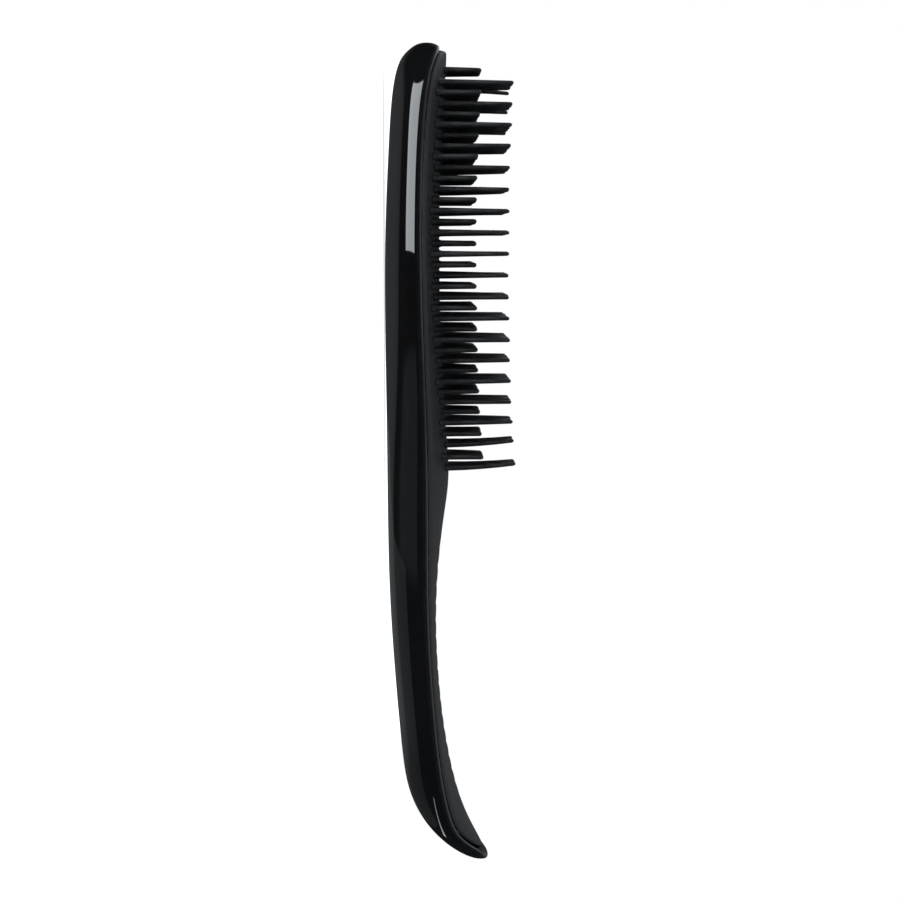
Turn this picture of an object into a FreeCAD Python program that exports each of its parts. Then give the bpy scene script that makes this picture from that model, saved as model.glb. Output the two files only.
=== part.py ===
import FreeCAD, Part
import math
import os

# A detangling brush lying on its back: X runs from the head (-) to the tail (+), Z points along the teeth.
# All lengths are in millimetres.

# Overall sizes
length = 225.7
head_half_width = 33.0
tail_rise = 28.3

# Body walls and seats
back_roundness_share = 0.8
panel_inset = 0.6
head_lip = 2.75
tail_lip = 4.4
seat_width = 1.6
cavity_drop = 0.8
back_wall = 2.2
panel_wall = 2.2
panel_edge = 0.5
seat_gap = 0.2
panel_ring = 2.0
overrun = 6.0

# Pegs of the front panel in the bosses of the shell
peg_radius = 1.6
boss_radius = 3.2
fit_gap = 0.15
boss_drop = 2.5
bore_floor = 1.5
peg_offset = 13.0

# Teeth
long_rows = 19
short_rows = 19
first_row_from_head = 11.95
row_pitch = 5.69
end_row_pitch = 6.35
end_rows = 2
lead_row_step = 3.8
column_pitch = 5.2
field_margin = 6.6
root_gap = 0.25
long_height = 18.13
long_root_radius = 0.88
long_tip_radius = 0.42
short_height = 9.57
short_root_radius = 0.85
short_tip_radius = 0.56

# Places along the brush as shares of the length from the tail, each with a share of the size that it follows
outline_shares = (
    (0.0, 0.06), (0.0034, 0.09), (0.0067, 0.15), (0.0128, 0.21), (0.0221, 0.27), (0.0364, 0.33), (0.0558, 0.38),
    (0.0834, 0.415), (0.1201, 0.433), (0.1749, 0.439), (0.2508, 0.427), (0.3395, 0.397), (0.3967, 0.388),
    (0.4427, 0.403), (0.4867, 0.442), (0.5444, 0.564), (0.5931, 0.703), (0.6456, 0.855), (0.6979, 0.955),
    (0.759, 1.0), (0.8032, 0.995), (0.8551, 0.961), (0.8903, 0.906), (0.9206, 0.83), (0.9469, 0.739), (0.9683, 0.618),
    (0.9829, 0.485), (0.994, 0.26), (0.9971, 0.13), (1.0, 0.1),
)
back_shares = (
    (0.0, 0.9), (0.0034, 0.867), (0.0108, 0.731), (0.0232, 0.585), (0.038, 0.467), (0.061, 0.328), (0.0865, 0.235),
    (0.1201, 0.178), (0.1983, 0.116), (0.2982, 0.056), (0.3847, 0.03), (0.5394, 0.017), (0.7048, 0.0),
    (0.8335, 0.023), (0.9078, 0.052), (0.9468, 0.083), (0.9682, 0.121), (0.9809, 0.168), (0.9911, 0.245),
    (0.9972, 0.331), (1.0, 0.36),
)
rim_shares = (
    (0.0, 0.97), (0.0034, 0.981), (0.007, 0.999), (0.0118, 0.981), (0.0161, 0.946), (0.022, 0.877), (0.0364, 0.738),
    (0.0609, 0.638), (0.0864, 0.591), (0.1363, 0.523), (0.2113, 0.466), (0.2851, 0.427), (0.3846, 0.415),
    (0.4827, 0.415), (0.5792, 0.389), (0.6762, 0.357), (0.76, 0.35), (0.8463, 0.359), (0.9187, 0.394),
    (0.9508, 0.426), (0.9755, 0.481), (0.9877, 0.534), (0.9916, 0.523), (0.9972, 0.458), (1.0, 0.44),
)
crown_shares = (
    (0.0, 0.999), (0.02, 0.949), (0.0363, 0.881), (0.0609, 0.78), (0.0986, 0.68), (0.1485, 0.596), (0.1982, 0.54),
    (0.2477, 0.508), (0.3042, 0.493), (0.3465, 0.505), (0.3966, 0.538), (0.4457, 0.591), (0.4703, 0.625),
    (0.5066, 0.608), (0.5663, 0.572), (0.6278, 0.547), (0.7118, 0.528), (0.7817, 0.527), (0.8464, 0.538),
    (0.9509, 0.582), (0.9771, 0.593), (0.9847, 0.588), (1.0, 0.548),
)

# Sections that the surfaces pass through, as shares of the length
shell_station_shares = (
    0.0015, 0.0053, 0.011, 0.02, 0.034, 0.053, 0.08, 0.116, 0.17, 0.245, 0.333, 0.41, 0.445, 0.4636, 0.482,
    0.51, 0.56, 0.613, 0.675, 0.745, 0.818, 0.88, 0.929, 0.96, 0.98, 0.9925, 0.9985,
)
cavity_station_shares = (
    0.1, 0.13, 0.17, 0.245, 0.333, 0.41, 0.4636, 0.51, 0.56, 0.613, 0.675, 0.745, 0.818, 0.88, 0.929, 0.955,
)
arc_steps = 12
centre_share = 0.5
slope_step_share = 0.002

# Pegs: shares of the length, and shares of the peg offset to either side
peg_place_shares = ((0.2, 0.0), (0.38, 0.0), (0.64, 1.0), (0.64, -1.0), (0.87, 0.8), (0.87, -0.8))


def smooth(table, share):
    # A cubic through the table whose slope at each point is the mean of its two neighbours
    last = len(table) - 2
    spot = 0
    while spot < last and share > table[spot + 1][0]:
        spot += 1
    low, high = table[spot], table[spot + 1]
    before = table[max(spot - 1, 0)]
    after = table[min(spot + 2, last + 1)]
    run = high[0] - low[0]
    slope_low = (high[1] - before[1]) / (high[0] - before[0]) * run
    slope_high = (after[1] - low[1]) / (after[0] - low[0]) * run
    t = (share - low[0]) / run
    bend = slope_low + slope_high - 2 * (high[1] - low[1])
    rise = 3 * (high[1] - low[1]) - 2 * slope_low - slope_high
    return low[1] + t * (slope_low + t * (rise + t * bend))


def place(share):
    # X of a share of the length from the tail
    return length * (centre_share - share)


def half_width(share):
    return head_half_width * smooth(outline_shares, share)


def back_height(share):
    return tail_rise * smooth(back_shares, share)


def rim_height(share):
    return tail_rise * smooth(rim_shares, share)


def crown_height(share):
    return tail_rise * smooth(crown_shares, share)


def panel_half_width(share):
    # The panel's outline is the shell's outline drawn in at both ends and along its sides
    tail_end = tail_lip / length
    head_end = 1 - head_lip / length
    first = shell_station_shares[0]
    span = shell_station_shares[-1] - first
    stretched = first + (share - tail_end) / (head_end - tail_end) * span
    return half_width(stretched) - panel_inset


def panel_stations():
    # The shell's own sections between the panel's two ends
    tail_end = (tail_lip + panel_inset) / length
    head_end = 1 - (head_lip + panel_inset) / length
    between = [share for share in shell_station_shares if tail_end < share < head_end]
    return [tail_end] + between + [head_end]


def panel_foot(share):
    # The panel's underside stands off the rim by the seat gap, measured square to the rim's slope
    low = share - slope_step_share
    high = share + slope_step_share
    slope = (rim_height(high) - rim_height(low)) / (length * (high - low))
    return rim_height(share) + seat_gap * math.hypot(1, slope)


def bed_height(share, across):
    # Height of the front face: a parabola from the crown down to the panel's edge
    edge = panel_foot(share) + panel_edge
    fall = (across / panel_half_width(share)) ** 2
    return crown_height(share) - (crown_height(share) - edge) * fall


def curve_through(points):
    steps = len(points) - 1
    spline = Part.BSplineCurve()
    spline.interpolate(Points=points, Parameters=[step / steps for step in range(steps + 1)])
    return spline.toShape()


def ring_of(edges):
    return Part.Wire(Part.__sortEdges__(edges))


def trough(share, half, top, bottom, wall_top):
    # A rounded back from side to side, closed straight across at wall_top
    x = place(share)
    arc = []
    for step in range(arc_steps + 1):
        angle = math.pi * step / arc_steps
        side = math.copysign(abs(math.cos(angle)) ** back_roundness_share, -math.cos(angle))
        deep = abs(math.sin(angle)) ** back_roundness_share
        arc.append(FreeCAD.Vector(x, half * side, top - (top - bottom) * deep))
    edges = [curve_through(arc)]
    left, right = arc[0], arc[-1]
    if wall_top > top:
        high_left = FreeCAD.Vector(x, left.y, wall_top)
        high_right = FreeCAD.Vector(x, right.y, wall_top)
        edges.append(Part.makeLine(right, high_right))
        edges.append(Part.makeLine(high_right, high_left))
        edges.append(Part.makeLine(high_left, left))
    else:
        edges.append(Part.makeLine(right, left))
    return ring_of(edges)


def dome(share, half, foot, edge, crown):
    # A crowned front from side to side on upright edges, closed straight across at its foot
    x = place(share)
    arc = []
    for step in range(arc_steps + 1):
        side = 2 * step / arc_steps - 1
        arc.append(FreeCAD.Vector(x, half * side, edge + (crown - edge) * (1 - side ** 2)))
    low_left = FreeCAD.Vector(x, arc[0].y, foot)
    low_right = FreeCAD.Vector(x, arc[-1].y, foot)
    edges = [
        curve_through(arc),
        Part.makeLine(arc[-1], low_right),
        Part.makeLine(low_right, low_left),
        Part.makeLine(low_left, arc[0]),
    ]
    return ring_of(edges)


def peg_places():
    return [(share, peg_offset * side_share) for share, side_share in peg_place_shares]


def boss_top(share):
    return rim_height(share) - boss_drop


def boss_foot(share, across):
    # Halfway into the shell's back wall under the boss
    reach = abs(across) / half_width(share)
    power = 2 / back_roundness_share
    deep = (1 - reach ** power) ** (1 / power)
    floor = rim_height(share) - (rim_height(share) - back_height(share)) * deep
    return floor + back_wall / 2


def upright(share, across, radius, low, high):
    foot = FreeCAD.Vector(place(share), across, low)
    return Part.makeCylinder(radius, high - low, foot)


def make_back_shell():
    outer = []
    for share in shell_station_shares:
        rim = rim_height(share)
        outer.append(trough(share, half_width(share), rim, back_height(share), rim))
    shell = Part.makeLoft(outer, True)
    inner = []
    for share in cavity_station_shares:
        rim = rim_height(share)
        half = panel_half_width(share) - seat_width
        inner.append(trough(share, half, rim - cavity_drop, back_height(share) + back_wall, rim + overrun))
    shell = shell.cut(Part.makeLoft(inner, True))
    bosses = []
    bores = []
    for share, across in peg_places():
        foot = boss_foot(share, across)
        bosses.append(upright(share, across, boss_radius, foot, boss_top(share)))
        bores.append(upright(share, across, peg_radius + fit_gap, foot + bore_floor, boss_top(share) + overrun))
    return shell.fuse(bosses).cut(bores).removeSplitter()


def make_front_panel():
    outer = []
    for share in panel_stations():
        foot = panel_foot(share)
        outer.append(dome(share, panel_half_width(share), foot, foot + panel_edge, crown_height(share)))
    panel = Part.makeLoft(outer, True)
    inner = []
    for share in cavity_station_shares:
        half = panel_half_width(share) - panel_ring
        ceiling = crown_height(share) - panel_wall
        spring = bed_height(share, half) - panel_wall
        inner.append(dome(share, half, rim_height(share) - overrun, spring, ceiling))
    panel = panel.cut(Part.makeLoft(inner, True))
    pegs = []
    for share, across in peg_places():
        low = boss_foot(share, across) + bore_floor + fit_gap
        pegs.append(upright(share, across, peg_radius, low, bed_height(share, across) - panel_wall / 2))
    return panel.fuse(pegs).removeSplitter()


def tooth(share, across, tip, root_radius, tip_radius):
    # A round root, a tapering shaft and a round tip, turned about the tooth's own axis
    root = bed_height(share, across) + root_gap
    slant = math.sqrt(0.5)
    foot = FreeCAD.Vector(0, 0, root)
    foot_mid = FreeCAD.Vector(root_radius * slant, 0, root + root_radius * (1 - slant))
    shaft_low = FreeCAD.Vector(root_radius, 0, root + root_radius)
    shaft_high = FreeCAD.Vector(tip_radius, 0, tip - tip_radius)
    top_mid = FreeCAD.Vector(tip_radius * slant, 0, tip - tip_radius * (1 - slant))
    top = FreeCAD.Vector(0, 0, tip)
    edges = [
        Part.Arc(foot, foot_mid, shaft_low).toShape(),
        Part.makeLine(shaft_low, shaft_high),
        Part.Arc(shaft_high, top_mid, top).toShape(),
        Part.makeLine(top, foot),
    ]
    solid = Part.Face(Part.Wire(edges)).revolve(FreeCAD.Vector(), FreeCAD.Vector(0, 0, 1), 360)
    solid.translate(FreeCAD.Vector(place(share), across, 0))
    return solid


def long_row_from_head(row):
    # Distance from the head's end: the rows nearest the handle stand a little further apart
    steps = max(0, row - (long_rows - 1 - end_rows))
    return first_row_from_head + (row - steps) * row_pitch + steps * end_row_pitch


def long_row_share(row):
    return 1 - long_row_from_head(row) / length


def short_row_share(row):
    # The first short row leads the long rows, and each other stands between two long rows
    if row == 0:
        return 1 - (first_row_from_head - lead_row_step) / length
    return (long_row_share(row - 1) + long_row_share(row)) / 2


def columns(share, shift):
    # Places across the bed, one column apart, that stay inside the field's margin
    room = panel_half_width(share) + panel_inset - field_margin
    count = max(0, math.floor((room - shift) / column_pitch))
    right = [shift + column_pitch * step for step in range(count + 1)]
    left = [-across for across in reversed(right) if across > 0]
    return left + right


def make_row(share, shift, height, root_radius, tip_radius):
    tip = crown_height(share) + height
    teeth = [tooth(share, across, tip, root_radius, tip_radius) for across in columns(share, shift)]
    return Part.makeCompound(teeth)


def save(shape, node):
    shape.exportStep("parts/" + node + ".step")
    print(node, len(shape.Solids), shape.isValid(), round(shape.Volume, 1), shape.BoundBox)


os.makedirs("parts", exist_ok=True)
save(make_back_shell(), "back_shell")
save(make_front_panel(), "front_panel")
for row in range(long_rows):
    share = long_row_share(row)
    shape = make_row(share, 0, long_height, long_root_radius, long_tip_radius)
    save(shape, "long_row_%02d" % (row + 1))
    print("pivot", "%.4f" % place(share), "%.4f" % crown_height(share))
for row in range(short_rows):
    share = short_row_share(row)
    shape = make_row(share, column_pitch / 2, short_height, short_root_radius, short_tip_radius)
    save(shape, "short_row_%02d" % (row + 1))
    print("pivot", "%.4f" % place(share), "%.4f" % crown_height(share))
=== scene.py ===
import math

import bpy
import numpy as np
from mathutils import Matrix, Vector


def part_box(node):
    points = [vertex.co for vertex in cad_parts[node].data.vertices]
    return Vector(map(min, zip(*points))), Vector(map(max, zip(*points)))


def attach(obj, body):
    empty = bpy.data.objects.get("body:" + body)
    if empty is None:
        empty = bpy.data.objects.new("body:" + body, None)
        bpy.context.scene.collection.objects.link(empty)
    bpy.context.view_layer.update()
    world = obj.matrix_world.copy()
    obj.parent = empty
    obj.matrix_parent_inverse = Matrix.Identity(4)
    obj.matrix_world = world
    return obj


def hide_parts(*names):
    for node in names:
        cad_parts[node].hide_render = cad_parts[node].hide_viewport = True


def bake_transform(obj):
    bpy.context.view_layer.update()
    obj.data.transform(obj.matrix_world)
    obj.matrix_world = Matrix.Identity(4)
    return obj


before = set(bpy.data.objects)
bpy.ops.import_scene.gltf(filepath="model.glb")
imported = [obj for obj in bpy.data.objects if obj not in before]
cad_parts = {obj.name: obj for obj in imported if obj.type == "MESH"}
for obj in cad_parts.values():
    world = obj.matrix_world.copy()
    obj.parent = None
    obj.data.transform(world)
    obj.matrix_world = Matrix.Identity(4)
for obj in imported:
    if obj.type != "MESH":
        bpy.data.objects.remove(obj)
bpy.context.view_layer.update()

mm = 0.001
shellLow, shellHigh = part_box("back_shell")
tailX, headX = shellHigh.x, shellLow.x  # the brush runs from the tail (+X) to the head (-X)
brushLength = tailX - headX

# Lines of the brush: (share of the length from the tail, millimetres)
formLines = {
    "halfWidth": (
        (0, 0), (0.0004, 1.45), (0.0018, 3.05), (0.005, 5.0), (0.0115, 7.05), (0.021, 9.0),
        (0.0343, 10.8), (0.0548, 12.5), (0.0824, 13.65), (0.119, 14.3), (0.173, 14.5), (0.25, 14.1),
        (0.3395, 13.1), (0.3977, 12.8), (0.442, 13.3), (0.4867, 14.7), (0.5444, 18.6), (0.593, 23.2),
        (0.646, 28.2), (0.699, 31.5), (0.76, 33.0), (0.804, 32.8), (0.8567, 31.7), (0.8914, 29.9),
        (0.9216, 27.4), (0.948, 24.2), (0.9693, 20.2), (0.9844, 15.2), (0.992, 11.3), (0.9965, 7.6),
        (0.9987, 4.6), (0.9997, 2.2), (1, 0),
    ),
    "back": (
        (0, 26.4), (0.0018, 24.5), (0.009, 20.7), (0.022, 16.55), (0.0348, 13.56), (0.06, 9.28),
        (0.085, 6.71), (0.11, 5.35), (0.1475, 4.34), (0.197, 3.3), (0.247, 2.39), (0.297, 1.62),
        (0.3465, 1.09), (0.3957, 0.81), (0.4467, 0.66), (0.5434, 0.45), (0.616, 0.19), (0.675, 0.05),
        (0.739, 0.05), (0.798, 0.34), (0.8713, 1.06), (0.908, 1.51), (0.9435, 2.25), (0.9673, 3.28),
        (0.9795, 4.37), (0.9912, 6.63), (0.9987, 9.4), (1, 11.25),
    ),
    "rim": (
        (0, 26.4), (0.0018, 27.75), (0.0054, 28.2), (0.01, 27.76), (0.0146, 26.75), (0.0206, 24.83),
        (0.0347, 20.98), (0.06, 18.05), (0.085, 16.63), (0.1353, 14.81), (0.21, 13.18), (0.2845, 12.16),
        (0.384, 11.75), (0.482, 11.63), (0.58, 11.02), (0.677, 10.21), (0.76, 9.9), (0.848, 10.19),
        (0.92, 11.17), (0.9523, 12.15), (0.977, 13.72), (0.9885, 14.95), (0.993, 14.75), (0.996, 14.05),
        (0.9987, 12.95), (1, 11.25),
    ),
    "crown": (
        (0, 28.58), (0.0206, 26.59), (0.0347, 24.92), (0.06, 22.08), (0.0976, 19.25), (0.1474, 16.86),
        (0.1976, 15.29), (0.247, 14.38), (0.3035, 13.96), (0.3465, 14.29), (0.396, 15.24),
        (0.445, 16.78), (0.47, 17.57), (0.5066, 17.21), (0.5663, 16.19), (0.6284, 15.48),
        (0.712, 14.96), (0.782, 14.9), (0.848, 15.23), (0.9523, 16.48), (0.978, 16.82), (1, 16.37),
    ),
}


# Turn angle of a share: shares crowd at both ends so that round ends stay round
def turnOf(share):
    return np.arccos(1 - 2 * np.clip(share, 0, 1)) / math.pi


# Share of a turn angle, the way back
def shareOf(turn):
    return (1 - np.cos(math.pi * turn)) / 2


# Natural cubic: a cubic through all points whose bend is continuous and nil at both ends
def naturalCubic(xs, ys, at):
    count = len(xs)
    step = np.diff(xs)
    rise = np.diff(ys) / step
    matrix = np.zeros((count, count))
    matrix[0, 0] = matrix[-1, -1] = 1
    mid = np.arange(1, count - 1)
    matrix[mid, mid - 1] = step[:-1]
    matrix[mid, mid] = 2 * (step[:-1] + step[1:])
    matrix[mid, mid + 1] = step[1:]
    right = np.zeros(count)
    right[mid] = 6 * np.diff(rise)
    bend = np.linalg.solve(matrix, right)
    k = np.clip(np.searchsorted(xs, at) - 1, 0, count - 2)
    a, b = at - xs[k], xs[k + 1] - at
    curved = (bend[k] * b ** 3 + bend[k + 1] * a ** 3) / (6 * step[k])
    fromLeft = (ys[k] / step[k] - bend[k] * step[k] / 6) * b
    fromRight = (ys[k + 1] / step[k] - bend[k + 1] * step[k] / 6) * a
    return curved + fromLeft + fromRight


lineSet = {"bellWidth": 0.011, "bellReach": 4, "samples": 4000}


# A fair line: the cubic over the turn angle, averaged with a bell so that reflections run clean along it
def fairLine(s, points):
    table = np.array(points, float)
    turns = np.linspace(0, 1, s["samples"] + 1)
    values = naturalCubic(turnOf(table[:, 0]), table[:, 1] * mm, turns)
    spread = s["bellWidth"] * s["samples"]
    reach = int(s["bellReach"] * spread)
    bell = np.exp(-0.5 * (np.arange(-reach, reach + 1) / spread) ** 2)
    before = 2 * values[0] - values[reach:0:-1]
    after = 2 * values[-1] - values[-2:-reach - 2:-1]
    smooth = np.convolve(np.concatenate([before, values, after]), bell / bell.sum(), "valid")
    return lambda share: np.interp(turnOf(share), turns, smooth)


lineOf = {name: fairLine(lineSet, points) for name, points in formLines.items()}
print("lines", len(lineOf))


# Smooth step from 0 at low to 1 at high
def easeBetween(value, low, high):
    t = np.clip((value - low) / (high - low), 0, 1)
    return t * t * (3 - 2 * t)


softPower = 4  # how closely the soft least and most follow the true ones
leastLength = 0.001 * mm


# Soft least: like the lesser of two lengths, with no kink where they cross
def softLeast(a, b):
    a, b = np.maximum(a, leastLength), np.maximum(b, leastLength)
    return (a ** -softPower + b ** -softPower) ** (-1 / softPower)


# Soft most: like the greater of two lengths
def softMost(a, b):
    return (a ** softPower + b ** softPower) ** (1 / softPower)


# Faces of stacked rings: ring i joins ring i+1 all the way round, and a fan to a pole point closes each end
def ringFaces(ringCount, around):
    cell = np.arange(ringCount * around).reshape(ringCount, around)
    ahead = np.roll(cell, -1, axis=1)
    quads = np.stack([cell[:-1], ahead[:-1], ahead[1:], cell[1:]], axis=-1).reshape(-1, 4)
    firstPole, lastPole = np.full(around, cell.size), np.full(around, cell.size + 1)
    firstFan = np.stack([ahead[0], cell[0], firstPole], axis=-1)
    lastFan = np.stack([cell[-1], ahead[-1], lastPole], axis=-1)
    return quads, np.concatenate([firstFan, lastFan])


# Closed mesh from rings and their two poles, with a wear-and-sheen mark of 1 on the poles
def ringMesh(name, rings, poles, wearAndSheen):
    points = np.concatenate([rings.reshape(-1, 3), poles])
    return meshFrom(name, points, *ringFaces(*rings.shape[:2]), np.append(wearAndSheen.ravel(), [1, 1]))


# Mesh object from points, quads and triangles: turned outwards by the sign of its volume, shaded smooth
def meshFrom(name, points, quads, triangles, wearAndSheen):
    split = np.concatenate([quads[:, [0, 1, 2]], quads[:, [0, 2, 3]], triangles])
    a, b, c = (points[split[:, corner]] for corner in range(3))
    if np.einsum("ij,ij->i", a, np.cross(b, c)).sum() < 0:
        quads, triangles = quads[:, ::-1], triangles[:, ::-1]
    mesh = bpy.data.meshes.new(name)
    mesh.vertices.add(len(points))
    mesh.vertices.foreach_set("co", points.astype(np.float32).ravel())
    corners = np.concatenate([quads.ravel(), triangles.ravel()])
    sizes = np.concatenate([np.full(len(quads), 4), np.full(len(triangles), 3)])
    mesh.loops.add(len(corners))
    mesh.loops.foreach_set("vertex_index", corners.astype(np.int32))
    mesh.polygons.add(len(sizes))
    mesh.polygons.foreach_set("loop_start", (np.cumsum(sizes) - sizes).astype(np.int32))
    mesh.polygons.foreach_set("use_smooth", np.ones(len(sizes), bool))
    mesh.attributes.new("wearAndSheen", "FLOAT", "POINT").data.foreach_set("value", wearAndSheen.astype(np.float32))
    mesh.update(calc_edges=True)
    mesh.validate()
    piece = bpy.data.objects.new(name, mesh)
    bpy.context.scene.collection.objects.link(piece)
    return piece


# Node with its settings, and its sockets either linked or set to a constant
def addNode(tree, kind, links=None, **values):
    node = tree.nodes.new(kind)
    for key, value in values.items():
        setattr(node, key, value)
    for socket, source in (links or {}).items():
        if isinstance(source, bpy.types.NodeSocket):
            tree.links.new(source, node.inputs[socket])
        else:
            node.inputs[socket].default_value = source
    return node


# Sum, product or other reckoning of two values
def mathOut(tree, operation, a, b=0.0):
    return addNode(tree, "ShaderNodeMath", {0: a, 1: b}, operation=operation).outputs[0]


# Value carried from one range to another along an S curve
def easeOut(tree, value, low, high, start=0.0, end=1.0):
    sockets = {0: value, 1: low, 2: high, 3: start, 4: end}
    return addNode(tree, "ShaderNodeMapRange", sockets, interpolation_type="SMOOTHSTEP").outputs[0]


# Noise on the piece's own coordinates
def noiseOut(tree, scale, detail):
    place = addNode(tree, "ShaderNodeTexCoord").outputs["Object"]
    return addNode(tree, "ShaderNodeTexNoise", {"Vector": place, "Scale": scale, "Detail": detail}).outputs[0]


# Colour between two colours, by a mask from 0 to 1
def mixOut(tree, mask, first, second):
    return addNode(tree, "ShaderNodeMix", {0: mask, 6: first, 7: second}, data_type="RGBA").outputs[2]


# Empty shader group: four numbers make a colour input, one number a value input
def newGroup(name, inputs, outputs):
    group = bpy.data.node_groups.new(name, "ShaderNodeTree")
    for socket, value in inputs.items():
        kind = "NodeSocketColor" if isinstance(value, tuple) else "NodeSocketFloat"
        group.interface.new_socket(socket, in_out="INPUT", socket_type=kind).default_value = value
    for socket, kind in outputs.items():
        group.interface.new_socket(socket, in_out="OUTPUT", socket_type=kind)
    return group, group.nodes.new("NodeGroupInput"), group.nodes.new("NodeGroupOutput")


skinSet = {
    "inputs": {"Grain Scale": 3000.0, "Wave Scale": 200.0, "Grain Share": 0.5, "Mottle Scale": 60.0},
    "grainDetail": 2.0, "waveDetail": 1.0, "mottleDetail": 4.0, "mottleRange": (0.3, 0.7),
}


# Moulded skin: fine grain over slow waves, as a height, and a slow mottle from 0 to 1
def makeMouldSkin(s):
    outputs = {"Height": "NodeSocketFloat", "Mottle": "NodeSocketFloat"}
    group, source, sink = newGroup("mouldSkin", s["inputs"], outputs)
    grain = noiseOut(group, source.outputs["Grain Scale"], s["grainDetail"])
    wave = noiseOut(group, source.outputs["Wave Scale"], s["waveDetail"])
    mottle = noiseOut(group, source.outputs["Mottle Scale"], s["mottleDetail"])
    fine = mathOut(group, "MULTIPLY", grain, source.outputs["Grain Share"])
    group.links.new(mathOut(group, "ADD", fine, wave), sink.inputs["Height"])
    group.links.new(easeOut(group, mottle, *s["mottleRange"]), sink.inputs["Mottle"])
    return group


# Edge colour: the lighter colour is partly rubbed wear and partly painted highlight on edges that catch the
# light
rubSheenSet = {
    "inputs": {
        "Color": (0.01, 0.01, 0.01, 1), "RubSheenColor": (0.04, 0.04, 0.04, 1), "Amount": 0.5, "Break Scale": 900.0,
    },
    "breakDetail": 3.0, "breakRange": (0.35, 0.65), "breakLeast": 0.35,
}


# Rubbed edges and painted sheen: the piece's own wear-and-sheen mark broken up by noise, and the colour mixed
# towards the lighter one. The lighter colour is partly rubbed wear and partly painted highlight, on the
# panel's side edges and the teeth's root collars.
def makeRubbedEdgeAndSheen(s):
    group, source, sink = newGroup("rubbedEdgeAndSheen", s["inputs"], {"Color": "NodeSocketColor"})
    mark = addNode(group, "ShaderNodeAttribute", attribute_name="wearAndSheen").outputs["Fac"]
    noise = noiseOut(group, source.outputs["Break Scale"], s["breakDetail"])
    broken = mathOut(group, "MULTIPLY", mark, easeOut(group, noise, *s["breakRange"], s["breakLeast"], 1.0))
    mask = mathOut(group, "MULTIPLY", broken, source.outputs["Amount"])
    mixed = mixOut(group, mask, source.outputs["Color"], source.outputs["RubSheenColor"])
    group.links.new(mixed, sink.inputs["Color"])
    return group


mouldSkin = makeMouldSkin(skinSet)
rubbedEdgeAndSheen = makeRubbedEdgeAndSheen(rubSheenSet)
print("node groups", len(bpy.data.node_groups))


# Material with its tree and its Principled shader
def newMaterial(name):
    material = bpy.data.materials.new(name)
    material.use_nodes = True
    tree = material.node_tree
    return material, tree, tree.nodes["Principled BSDF"]


# Shared effect placed in a material with its own values
def addGroup(tree, group, values):
    return addNode(tree, "ShaderNodeGroup", values, node_tree=group)


# Plastic: colour drifts between two near blacks, lighter on marked edges, where the lighter colour is partly
# rubbed wear and partly painted highlight; the skin gives roughness and bump
def makePlastic(name, finish):
    material, tree, shader = newMaterial(name)
    skin = addGroup(tree, mouldSkin, {
        "Grain Scale": finish["grainScale"], "Wave Scale": finish["waveScale"],
        "Grain Share": finish["grainShare"], "Mottle Scale": finish["mottleScale"],
    })
    rubAndSheen = addGroup(tree, rubbedEdgeAndSheen, {
        "Color": mixOut(tree, skin.outputs["Mottle"], finish["dark"], finish["pale"]),
        "RubSheenColor": finish["rubAndSheen"], "Amount": finish["rubSheenAmount"], "Break Scale": finish["breakScale"],
    })
    tree.links.new(rubAndSheen.outputs["Color"], shader.inputs["Base Color"])
    low, high = finish["roughness"]
    tree.links.new(easeOut(tree, skin.outputs["Mottle"], 0.0, 1.0, low, high), shader.inputs["Roughness"])
    bump = addNode(tree, "ShaderNodeBump", {
        "Strength": finish["bumpStrength"], "Distance": finish["bumpDepth"],
        "Height": skin.outputs["Height"],
    })
    tree.links.new(bump.outputs[0], shader.inputs["Normal"])
    shader.inputs["IOR"].default_value = finish["ior"]
    return material


# In each finish the rub-and-sheen colour lightens marked edges: rubbed wear, and painted highlight on the
# panel's edges and the teeth's roots
glossFinish = {
    "dark": (0.0014, 0.0014, 0.0016, 1), "pale": (0.0022, 0.0022, 0.0024, 1),
    "rubAndSheen": (0.012, 0.012, 0.0125, 1), "roughness": (0.03, 0.06),
    "rubSheenAmount": 0.3, "breakScale": 700.0, "ior": 1.5,
    "grainScale": 2500.0, "waveScale": 160.0, "grainShare": 0.02, "mottleScale": 45.0,
    "bumpStrength": 0.05, "bumpDepth": 0.2 * mm,
}
panelFinish = {
    "dark": (0.0085, 0.009, 0.0104, 1), "pale": (0.0115, 0.0121, 0.0138, 1),
    "rubAndSheen": (0.019, 0.0198, 0.0218, 1), "roughness": (0.52, 0.62),
    "rubSheenAmount": 0.2, "breakScale": 800.0, "ior": 1.38,
    "grainScale": 3600.0, "waveScale": 700.0, "grainShare": 1.0, "mottleScale": 70.0,
    "bumpStrength": 0.22, "bumpDepth": 0.12 * mm,
}
toothFinish = {
    "dark": (0.0036, 0.0038, 0.0047, 1), "pale": (0.0052, 0.0055, 0.0066, 1),
    "rubAndSheen": (0.012, 0.0123, 0.0138, 1), "roughness": (0.34, 0.46),
    "rubSheenAmount": 0.7, "breakScale": 900.0, "ior": 1.48,
    "grainScale": 3200.0, "waveScale": 600.0, "grainShare": 0.8, "mottleScale": 220.0,
    "bumpStrength": 0.14, "bumpDepth": 0.1 * mm,
}
glossShell = makePlastic("glossShell", glossFinish)
mattePanel = makePlastic("mattePanel", panelFinish)
toothSatin = makePlastic("toothSatin", toothFinish)
print("materials", len(bpy.data.materials))


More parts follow.
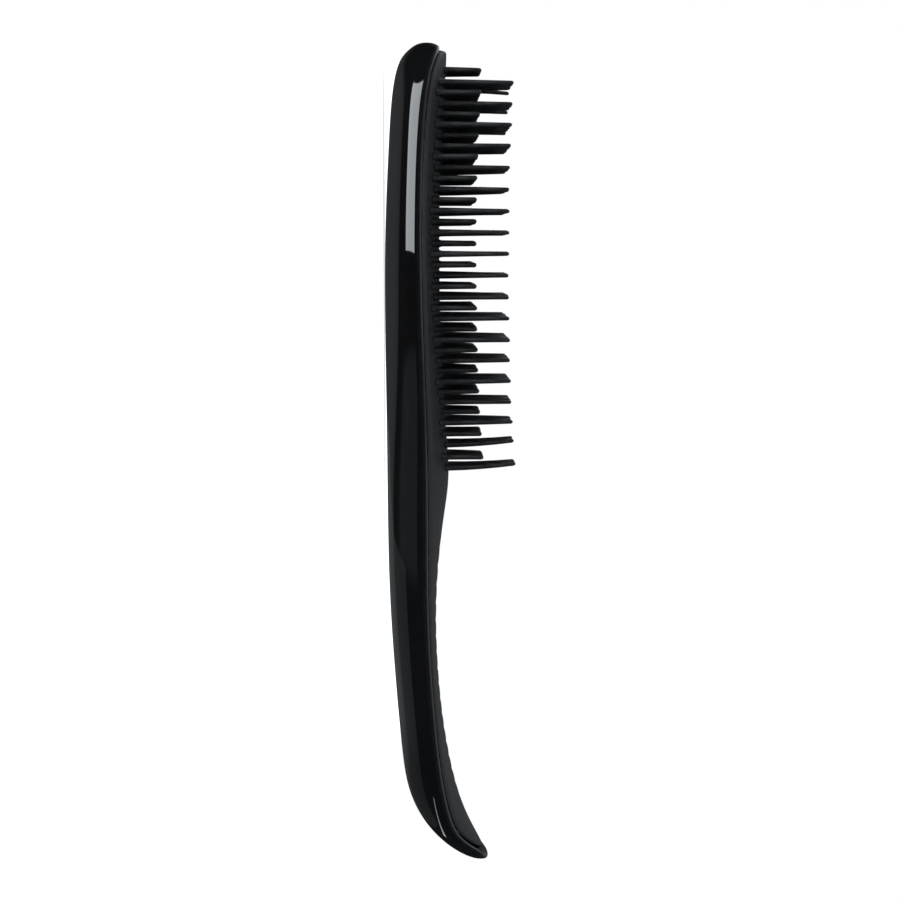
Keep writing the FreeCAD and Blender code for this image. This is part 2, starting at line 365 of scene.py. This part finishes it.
shellSet = {
    "stations": 440, "around": 128, "lipSteps": 7, "roundness": 0.8,
    "lipRadius": 0.85 * mm, "lipShare": 0.22, "ledge": 1.7 * mm, "ledgeShare": 0.4,
    "tailLip": 1.6 * mm, "headLip": 1.6 * mm, "bareLipShare": 0.45,  # the bare ends are rounder
    "wall": 2.2 * mm, "leastDepth": 0.2 * mm, "tailSolid": (0.012, 0.05), "headSolid": (0.955, 0.99),
    "endCrown": 0.35 * mm, "crownHalf": 6 * mm, "wearReach": 2,
    "tailCrown": (1.0 * mm, 3.7 * mm), "headCrown": (0.6 * mm, 2.0 * mm),  # the bare ends beyond the panel
}


# How far the shell is hollowed out: nil at its solid ends, 1 between them
def hollowOf(s, share):
    return easeBetween(share, *s["tailSolid"]) * (1 - easeBetween(share, *s["headSolid"]))


# Shell: at each place a superellipse from rim to rim, a quarter-round lip, a ledge and a smaller superellipse
def makeShell(s):
    share = shareOf(np.linspace(0, 1, s["stations"] + 1)[1:-1])[:, None]
    half, back, rim = (lineOf[name](share) for name in ("halfWidth", "back", "rim"))
    tailBare = 1 - easeBetween(share * brushLength, *s["tailCrown"])
    headBare = 1 - easeBetween((1 - share) * brushLength, *s["headCrown"])
    bare = np.maximum(tailBare, headBare)
    lipShare = s["lipShare"] + (s["bareLipShare"] - s["lipShare"]) * bare
    lipLimit = lipShare * softLeast(half, rim - back)
    lip = softLeast(s["lipRadius"] + s["tailLip"] * tailBare + s["headLip"] * headBare, lipLimit)
    angle = np.linspace(0, math.pi, s["around"] + 1)[None, :]
    across = np.sign(np.cos(angle)) * np.abs(np.cos(angle)) ** s["roundness"]
    deep = np.abs(np.sin(angle)) ** s["roundness"]
    outY, outZ = half * across, (rim - lip) - (rim - lip - back) * deep
    turn = np.linspace(0, math.pi / 2, s["lipSteps"] + 1)[None, 1:]
    lipY, lipZ = half - lip * (1 - np.cos(turn)), rim - lip * (1 - np.sin(turn))
    ledge = softMost(softLeast(s["ledge"], s["ledgeShare"] * half), lip)
    hollow = np.maximum(rim - back - s["wall"], s["leastDepth"]) * hollowOf(s, share)
    crown = s["endCrown"] * bare * np.minimum(1, half / s["crownHalf"])
    inY, inZ = (half - ledge) * across, rim - (hollow - crown) * deep
    ringY = np.concatenate([outY, -lipY, -inY, lipY[:, ::-1]], axis=1)
    ringZ = np.concatenate([outZ, lipZ, inZ, lipZ[:, ::-1]], axis=1)
    ringX = np.broadcast_to(tailX - brushLength * share, ringY.shape)
    wearAndSheen = np.zeros(ringY.shape)  # 1 on both lips and just below them
    lipStart = outY.shape[1]
    wearAndSheen[:, lipStart - s["wearReach"]:lipStart + s["lipSteps"]] = 1
    wearAndSheen[:, -s["lipSteps"]:] = 1
    wearAndSheen[:, :s["wearReach"]] = 1
    tips = [(tailX, 0, lineOf["back"](0.0)), (headX, 0, lineOf["back"](1.0))]
    return ringMesh("backShell", np.stack([ringX, ringY, ringZ], axis=-1), tips, wearAndSheen)


backShell = makeShell(shellSet)
backShell.data.materials.append(glossShell)
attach(backShell, "brush_body")
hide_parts("back_shell")
print("back shell", len(backShell.data.polygons))


panelSet = {
    "stations": 760, "across": 96, "under": 8,
    "tailGap": 3.45 * mm, "headGap": 2.05 * mm,  # from the shell's ends to the panel's ends
    "inset": 0.6 * mm, "seatGap": 0.05 * mm, "slopeStep": 0.002,
    "edge": 0.9 * mm, "edgeShare": 0.3, "edgeRound": 1.1 * mm, "edgeMost": 0.5, "endRound": 0.9 * mm,
    "seat": 1.4 * mm, "seatLeast": 0.5,
    "tongue": 0.6 * mm, "tongueEdge": 0.25,  # the underside reaches into the shell's hollow
    # the last two bound the band along the side edges that is lighter: rubbed wear and painted highlight
    "crowdShare": 0.35, "crowdPower": 1.35, "rubSheenFrom": 1.5 * mm, "rubSheenTo": 0.3 * mm,
    "gripFrom": 14 * mm, "gripTo": 92 * mm, "gripPitch": 3.6 * mm, "gripSpread": 0.18, "gripBow": 1.6,
    "gripDepth": 0.14 * mm, "gripWidth": 0.2, "gripFade": 10 * mm, "gripSide": (0.62, 0.9),
}


# The panel's outline is the shell's own, fitted between the panel's ends and drawn in along its sides
def panelHalf(s, turn):
    half = lineOf["halfWidth"](shareOf(turn))
    return half - s["inset"] * (1 - np.exp(-half / (2 * s["inset"])))


# The panel's ends, as shares of the brush's length
def panelEnds(s):
    return s["tailGap"] / brushLength, 1 - s["headGap"] / brushLength


# Share of the brush's length at a turn angle along the panel
def panelShare(s, turn):
    tailEnd, headEnd = panelEnds(s)
    return tailEnd + (headEnd - tailEnd) * shareOf(turn)


# Turn angle along the panel at a share of the brush's length, the way back
def panelTurn(s, share):
    tailEnd, headEnd = panelEnds(s)
    return turnOf((share - tailEnd) / (headEnd - tailEnd))


# The foot stands off the rim by the seat gap, measured square to the rim's slope
def panelFoot(s, share):
    step = s["slopeStep"]
    slope = (lineOf["rim"](share + step) - lineOf["rim"](share - step)) / (2 * step * brushLength)
    return lineOf["rim"](share) + s["seatGap"] * np.hypot(1, slope)


# Grip: shallow grooves across the handle's front, bowed towards its sides and faded at the field's borders
def gripCut(s, along, reach):
    run = (along - s["gripFrom"]) / (s["gripTo"] - s["gripFrom"])
    phase = (along - s["gripFrom"]) / s["gripPitch"] * (1 - s["gripSpread"] * run) + s["gripBow"] * reach ** 2
    groove = np.exp(-((phase - np.round(phase)) / s["gripWidth"]) ** 2)
    ends = easeBetween(along, s["gripFrom"], s["gripFrom"] + s["gripFade"])
    ends = ends * (1 - easeBetween(along, s["gripTo"] - s["gripFade"], s["gripTo"]))
    return s["gripDepth"] * groove * ends * (1 - easeBetween(np.abs(reach), *s["gripSide"]))


# Front face: foot, round edge and parabola up to the crown, less the grip; reach is a share of the half width
def bedHeight(s, turn, reach):
    share = panelShare(s, turn)
    half, foot = panelHalf(s, turn), panelFoot(s, share)
    nearEnd = np.minimum(share * brushLength - s["tailGap"], (1 - share) * brushLength - s["headGap"])
    end = np.sqrt(np.clip(1 - (1 - np.clip(nearEnd / s["endRound"], 0, 1)) ** 2, 0, 1))
    rise = (lineOf["crown"](share) - foot) * end
    edge = np.minimum(s["edge"], s["edgeShare"] * rise)
    flat = 1 - np.minimum(s["edgeRound"] / half, s["edgeMost"])
    out = np.clip((np.abs(reach) - flat) / (1 - flat), 0, 1)
    shape = edge * np.sqrt(1 - out ** 2) + (rise - edge) * (1 - reach ** 2)
    return foot + shape - gripCut(s, share * brushLength, reach)


# Panel: at each place the front face from side to side, and an underside that sinks into the shell
def makePanel(s):
    turn = np.linspace(0, 1, s["stations"] + 1)[1:-1][:, None]
    swing = np.linspace(-math.pi / 2, math.pi / 2, s["across"] + 1)[None, :]
    reach = s["crowdShare"] * np.sin(swing) + (1 - s["crowdShare"]) * swing / (math.pi / 2)
    # Points crowd towards the round edges
    reach = np.sign(reach) * (1 - (1 - np.abs(reach)) ** s["crowdPower"])
    share = panelShare(s, turn)
    half, foot = panelHalf(s, turn), panelFoot(s, share)
    back = np.linspace(1, -1, s["under"])[None, :]
    seatHalf = np.maximum(half - s["seat"], s["seatLeast"] * half)
    sunk = hollowOf(shellSet, share) * easeBetween(1 - np.abs(back), 0, s["tongueEdge"])
    ringY = np.concatenate([half * reach, seatHalf * back], axis=1)
    ringZ = np.concatenate([bedHeight(s, turn, reach), foot - s["tongue"] * sunk], axis=1)
    ringX = np.broadcast_to(tailX - brushLength * share, ringY.shape)
    # Lighter towards the side edges: rubbed wear and painted highlight along the panel's edge line
    rubAndSheen = easeBetween(np.abs(half * reach), half - s["rubSheenFrom"], half - s["rubSheenTo"])
    wearAndSheen = np.concatenate([rubAndSheen, np.zeros(sunk.shape)], axis=1)
    ends = []
    for endTurn in (0.0, 1.0):
        place = panelShare(s, endTurn)
        ends.append((tailX - brushLength * place, 0, panelFoot(s, place)))
    return ringMesh("frontPanel", np.stack([ringX, ringY, ringZ], axis=-1), ends, wearAndSheen)


frontPanel = makePanel(panelSet)
frontPanel.data.materials.append(mattePanel)
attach(frontPanel, "brush_body")
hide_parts("front_panel")
print("front panel", len(frontPanel.data.polygons))


toothSet = {
    "sides": 8, "bendSteps": 4, "pitch": 5.2 * mm, "sunk": 0.35 * mm, "lean": 0.2 * mm, "seed": 7,
    "flare": 0.42 * mm, "flareRise": 0.75 * mm, "midFlare": 0.45, "midRise": 0.25,
    "tipNarrow": 0.72, "tipDrop": 0.3,  # the last ring's radius and depth, as shares of the tip's radius
    "rootSheen": 9, "tipWear": 0.93,  # painted highlight on the root collar fades out over a ninth of the height, and rubbed wear starts again near the tip
    "long": {"rootRadius": 0.88 * mm, "tipRadius": 0.52 * mm},
    "short": {"rootRadius": 0.85 * mm, "tipRadius": 0.66 * mm},
    "bent": {"long_row_18": 0.9 * mm, "long_row_19": 1.15 * mm},  # tips that lean towards the head
    # Last teeth of a row that lean towards the tail
    "strayed": {"long_row_01": 1.15 * mm, "long_row_02": 0.6 * mm, "long_row_03": 0.4 * mm},
}
dice = np.random.default_rng(toothSet["seed"])


# Row of teeth: each is a profile turned about its own upright line, flared at its root and round at its tip
def makeRow(s, node):
    low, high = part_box(node)
    size = s["long"] if node.startswith("long") else s["short"]
    rowX = (low.x + high.x) / 2
    outer = high.y - size["rootRadius"]
    columns = np.linspace(-outer, outer, round(2 * outer / s["pitch"]) + 1)
    turn = panelTurn(panelSet, (tailX - rowX) / brushLength)
    root = bedHeight(panelSet, turn, columns / panelHalf(panelSet, turn))[:, None]
    tip, r, t = high.z, size["rootRadius"], size["tipRadius"]
    zero = np.zeros_like(root)
    climb = np.linspace(0, 1, s["bendSteps"] + 1)[None, :]  # from the flare's top to the round tip
    foot, neck = root + s["flareRise"], tip - t
    height = np.concatenate([
        root - s["sunk"], root + s["midRise"] * s["flareRise"],
        foot + (neck - foot) * climb, tip - s["tipDrop"] * t + zero,
    ], axis=1)
    flared = [r + s["flare"], r + s["midFlare"] * s["flare"]]
    radius = np.concatenate([flared, (r + (t - r) * climb)[0], [s["tipNarrow"] * t]])[None, :, None]
    angle = np.arange(s["sides"]) * 2 * math.pi / s["sides"]
    x = rowX + radius * np.cos(angle) + 0 * root[:, :, None]
    y = columns[:, None, None] + radius * np.sin(angle)
    z = np.broadcast_to(height[:, :, None], x.shape)
    teeth = np.stack([x, y, z], axis=-1)
    count, rings, sides = teeth.shape[:3]
    floors = np.stack([np.full(count, rowX), columns, root[:, 0] - s["sunk"]], axis=-1)
    tops = np.stack([np.full(count, rowX), columns, np.full(count, tip)], axis=-1)
    points = np.concatenate([teeth.reshape(count, -1, 3), floors[:, None], tops[:, None]], axis=1)
    rise = np.clip((points[:, :, 2] - root) / (tip - root), 0, 1)
    points[:, :, 0] -= s["bent"].get(node, 0) * rise ** 2
    points[-1, :, 0] += s["strayed"].get(node, 0) * rise[-1] ** 2
    points[:, :, :2] += dice.uniform(-1, 1, (count, 1, 2)) * s["lean"] * rise[:, :, None] ** 2
    quads, fans = ringFaces(rings, sides)
    shift = (np.arange(count) * points.shape[1])[:, None, None]
    quads, fans = (quads + shift).reshape(-1, 4), (fans + shift).reshape(-1, 3)
    # Lighter marks: painted highlight on the root collar and rubbed wear at the tip
    wearAndSheen = np.clip(np.maximum(1 - rise * s["rootSheen"], easeBetween(rise, s["tipWear"], 1.0)), 0, 1)
    row = meshFrom(node + "_teeth", points.reshape(-1, 3), quads, fans, wearAndSheen.ravel())
    return row, rowX, float(root.min()), tip


rowNodes = sorted(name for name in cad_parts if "_row_" in name)
for node in rowNodes:
    row, rowX, lowest, tip = makeRow(toothSet, node)
    row.data.materials.append(toothSatin)
    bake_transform(row)
    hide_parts(node)
print("tooth rows", len(rowNodes))


stageSet = {
    "floorHalf": 2000 * mm, "floorHeight": -0.2 * mm,
    "floorColor": (0.86, 0.86, 0.86, 1), "floorGlow": 0.68, "floorRoughness": 0.9,
    "keyPlace": (30 * mm, -100 * mm, 750 * mm), "keySize": 600 * mm, "keyPower": 0.5,
    "tint": (0.93, 1.0, 1.05, 1), "domeLight": 0.9, "skyLight": 0.36, "skyRise": (0.1, 0.7),
    "frontDim": 0.06, "dimDeep": (0.0, 0.9), "dimFar": 0.25,
    "backGlow": 1.2, "glowAlong": (-0.5, -0.1), "glowRise": (0.0, 0.25), "glowDeep": (0.2, 0.8),
    "sideCard": 0.135, "cardAngle": (122.0, 127.0), "cardFade": (127.0, 172.0), "cardFar": 0.25,
    "cardHead": (-0.45, -0.25), "cardTail": (0.2, 0.35),
}
stripCardSet = {  # bright strip in front of the head and below it; angles run from the camera downwards
    "radius": 500 * mm, "angle": (16.0, 79.0), "headAngle": (12.0, 90.0), "steps": 24, "strength": 7.4,
    "headEnd": (-1500 * mm, -680 * mm), "tailEnd": (3 * mm, -28 * mm),
}
neckCardSet = {  # faint card close by that lifts the neck's flank
    "radius": 60 * mm, "angle": (4.0, 100.0), "headAngle": (4.0, 100.0), "steps": 24, "strength": 0.17,
    "headEnd": (-5 * mm, -5 * mm), "tailEnd": (40 * mm, 40 * mm),
    "fadeIn": (-5 * mm, 15 * mm), "fadeOut": (32 * mm, 40 * mm), "fadeAcross": (0 * mm, -25 * mm),
}
tailCardSet = {  # thin lamp beyond the tail, seen as a streak along the tail's flank
    "place": 200 * mm, "from": (-185 * mm, -70 * mm), "to": (30 * mm, -31 * mm),
    "width": 8 * mm, "strength": 5.0,
}
flagSet = {  # keeps the bright strip off the far side of the head
    "across": -15 * mm, "along": (-600 * mm, -20 * mm), "upright": (-300 * mm, 6 * mm),
}
gripCardSet = {  # grey card under the handle, which the handle's flank mirrors
    "height": -60 * mm, "near": 0.24, "far": 0.09, "fadeAcross": (-48 * mm, 95 * mm),
    "fadeAlong": (90 * mm, 115 * mm), "tailShare": 0.6,
    "corners": (
        (38 * mm, -48 * mm), (200 * mm, -38 * mm), (200 * mm, 220 * mm),
        (5 * mm, 220 * mm), (10 * mm, 110 * mm), (31 * mm, 30 * mm),
    ),
}


# Floor: a pale square just under the brush
def makeFloor(s):
    half, height = s["floorHalf"], s["floorHeight"]
    mesh = bpy.data.meshes.new("floor")
    corners = [(-half, -half, height), (half, -half, height), (half, half, height), (-half, half, height)]
    mesh.from_pydata(corners, [], [(0, 1, 2, 3)])
    floor = bpy.data.objects.new("floor", mesh)
    bpy.context.scene.collection.objects.link(floor)
    material, tree, shader = newMaterial("paleFloor")
    shader.inputs["Base Color"].default_value = s["floorColor"]
    shader.inputs["Roughness"].default_value = s["floorRoughness"]
    shader.inputs["Specular IOR Level"].default_value = 0.0
    shader.inputs["Emission Color"].default_value = (1, 1, 1, 1)
    shader.inputs["Emission Strength"].default_value = s["floorGlow"]
    mesh.materials.append(material)
    floor.visible_glossy = False  # the glossy back shows the studio's cards, not the table


# Studio: white to the camera, an even dome for soft light, and soft bands for the gloss to mirror
def makeStudio(s):
    world = bpy.data.worlds.new("studio")
    bpy.context.scene.world = world
    world.use_nodes = True
    world.cycles.sampling_method = "NONE"
    tree = world.node_tree
    tree.nodes.clear()
    way = addNode(tree, "ShaderNodeTexCoord").outputs["Generated"]
    along, deep, up = addNode(tree, "ShaderNodeSeparateXYZ", {0: way}).outputs
    down = mathOut(tree, "MULTIPLY", up, -1.0)
    near = mathOut(tree, "MULTIPLY", deep, -1.0)
    # The angle about the brush's long axis is 0 at the camera, 90 below, 180 behind and -90 above
    angle = mathOut(tree, "DEGREES", mathOut(tree, "ARCTAN2", down, near))
    fade = easeOut(tree, angle, *s["cardFade"], 1.0, s["cardFar"])
    card = mathOut(tree, "MULTIPLY", easeOut(tree, angle, *s["cardAngle"]), fade)
    card = mathOut(tree, "MULTIPLY", card, easeOut(tree, along, *s["cardTail"], s["sideCard"], 0.0))
    card = mathOut(tree, "MULTIPLY", card, easeOut(tree, along, *s["cardHead"]))
    sky = easeOut(tree, up, *s["skyRise"], 0.0, s["skyLight"])
    glow = mathOut(tree, "MULTIPLY", easeOut(tree, up, *s["glowRise"]), easeOut(tree, deep, *s["glowDeep"]))
    glow = mathOut(tree, "MULTIPLY", glow, easeOut(tree, along, *s["glowAlong"], s["backGlow"], 0.0))
    dim = mathOut(tree, "MULTIPLY", easeOut(tree, deep, *s["dimDeep"], 1.0, s["dimFar"]), s["frontDim"])
    gloss = 0.0
    for part in (card, sky, glow, dim):
        gloss = mathOut(tree, "ADD", part, gloss)
    path = addNode(tree, "ShaderNodeLightPath").outputs
    light = addNode(tree, "ShaderNodeMix", {0: path["Is Glossy Ray"], 2: s["domeLight"], 3: gloss})
    lit = addNode(tree, "ShaderNodeBackground", {"Color": s["tint"], "Strength": light.outputs[0]}).outputs[0]
    white = addNode(tree, "ShaderNodeBackground", {"Color": (1, 1, 1, 1), "Strength": 1.0}).outputs[0]
    shown = addNode(tree, "ShaderNodeMixShader", {0: path["Is Camera Ray"], 1: lit, 2: white}).outputs[0]
    addNode(tree, "ShaderNodeOutputWorld", {0: shown})


# Screen: flat studio faces that only gloss sees, with a bare material
def makeScreen(name, corners, faces=None):
    mesh = bpy.data.meshes.new(name)
    mesh.from_pydata(corners, [], faces or [range(len(corners))])
    screen = bpy.data.objects.new(name, mesh)
    bpy.context.scene.collection.objects.link(screen)
    material, tree, shader = newMaterial(name)
    material.cycles.emission_sampling = "NONE"
    tree.nodes.remove(shader)
    mesh.materials.append(material)
    screen.visible_camera = screen.visible_diffuse = screen.visible_shadow = False
    return tree


# Card: a screen that adds light and blocks none
def makeCard(name, corners, faces=None):
    tree = makeScreen(name, corners, faces)
    glow = addNode(tree, "ShaderNodeEmission", {"Color": stageSet["tint"]})
    clear = addNode(tree, "ShaderNodeBsdfTransparent")
    both = addNode(tree, "ShaderNodeAddShader", {0: glow.outputs[0], 1: clear.outputs[0]})
    tree.links.new(both.outputs[0], tree.nodes["Material Output"].inputs["Surface"])
    return tree, glow


# Flag: a screen that is black from the brush's far side and clear from its near side
def makeFlag(s):
    (start, end), (low, high), across = s["along"], s["upright"], s["across"]
    corners = [(start, across, low), (start, across, high), (end, across, high), (end, across, low)]
    tree = makeScreen("headFlag", corners)
    behind = addNode(tree, "ShaderNodeNewGeometry").outputs["Backfacing"]
    black = addNode(tree, "ShaderNodeBsdfDiffuse", {"Color": (0, 0, 0, 1)})
    clear = addNode(tree, "ShaderNodeBsdfTransparent")
    either = addNode(tree, "ShaderNodeMixShader", {0: behind, 1: black.outputs[0], 2: clear.outputs[0]})
    tree.links.new(either.outputs[0], tree.nodes["Material Output"].inputs["Surface"])


# A card's own X and Y, for light that fades over it
def placeOut(tree):
    place = addNode(tree, "ShaderNodeTexCoord").outputs["Object"]
    return addNode(tree, "ShaderNodeSeparateXYZ", {0: place}).outputs[:2]


# Grip card: its light fades across the brush and along it
def makeGripCard(s):
    tree, glow = makeCard("gripCard", [(x, y, s["height"]) for x, y in s["corners"]])
    x, y = placeOut(tree)
    across = easeOut(tree, y, *s["fadeAcross"], s["near"], s["far"])
    level = mathOut(tree, "MULTIPLY", across, easeOut(tree, x, *s["fadeAlong"], 1.0, s["tailShare"]))
    tree.links.new(level, glow.inputs["Strength"])


# Arc card: part of a tube round the brush's long axis, whose two ends may slant
def makeArcCard(name, s):
    ends = []
    for end, span in (("headEnd", "headAngle"), ("tailEnd", "angle")):
        angle = np.radians(np.linspace(*s[span], s["steps"] + 1))
        x = np.linspace(*s[end], s["steps"] + 1)
        ends.append(np.stack([x, -s["radius"] * np.cos(angle), -s["radius"] * np.sin(angle)], axis=-1))
    points = np.concatenate(ends)
    first = np.arange(s["steps"])
    quads = np.stack([first, first + 1, first + s["steps"] + 2, first + s["steps"] + 1], axis=-1)
    tree, glow = makeCard(name, points.tolist(), quads.tolist())
    glow.inputs["Strength"].default_value = s["strength"]
    if "fadeIn" in s:
        x, y = placeOut(tree)
        inward, outward = easeOut(tree, x, *s["fadeIn"]), easeOut(tree, x, *s["fadeOut"], 1.0, 0.0)
        across = easeOut(tree, y, *s["fadeAcross"], 0.0, s["strength"])
        level = mathOut(tree, "MULTIPLY", mathOut(tree, "MULTIPLY", inward, outward), across)
        tree.links.new(level, glow.inputs["Strength"])


# Tail card: a slanting band in a plane square to the brush
def makeTailCard(s):
    (startY, startZ), (endY, endZ), half = s["from"], s["to"], s["width"] / 2
    corners = [(startY, startZ - half), (endY, endZ - half), (endY, endZ + half), (startY, startZ + half)]
    glow = makeCard("tailCard", [(s["place"], y, z) for y, z in corners])[1]
    glow.inputs["Strength"].default_value = s["strength"]


# Key: a round soft lamp above the brush
def makeKey(s):
    lamp = bpy.data.lights.new("softKey", "AREA")
    lamp.shape = "DISK"
    lamp.size = s["keySize"]
    lamp.energy = s["keyPower"]
    key = bpy.data.objects.new("softKey", lamp)
    key.location = s["keyPlace"]
    bpy.context.scene.collection.objects.link(key)


cameraSet = {
    "lens": 100.0, "sensor": 36.0, "clipStart": 10 * mm,
    "place": (-56.425 * mm, -685.96 * mm, 5.446 * mm), "aim": (-1.557 * mm, 0.0, 17.833 * mm),
}


# Camera: looks across the brush with its head upwards
def makeCamera(s):
    place, aim = np.array(s["place"]), np.array(s["aim"])
    ahead = (aim - place) / np.linalg.norm(aim - place)
    right = np.cross(ahead, (-1.0, 0.0, 0.0))
    right /= np.linalg.norm(right)
    upward = np.cross(right, ahead)
    data = bpy.data.cameras.new("sideCamera")
    data.lens = s["lens"]
    data.sensor_width = s["sensor"]
    data.clip_start = s["clipStart"]
    camera = bpy.data.objects.new("sideCamera", data)
    matrix = np.eye(4)
    matrix[:3] = np.stack([right, upward, -ahead, place], axis=1)
    camera.matrix_world = Matrix(matrix.tolist())
    bpy.context.scene.collection.objects.link(camera)
    bpy.context.scene.camera = camera


makeFloor(stageSet)
makeStudio(stageSet)
makeGripCard(gripCardSet)
makeTailCard(tailCardSet)
makeArcCard("stripCard", stripCardSet)
makeArcCard("neckCard", neckCardSet)
makeFlag(flagSet)
makeKey(stageSet)
makeCamera(cameraSet)
bpy.context.scene.view_settings.view_transform = "Standard"
print("studio and camera")
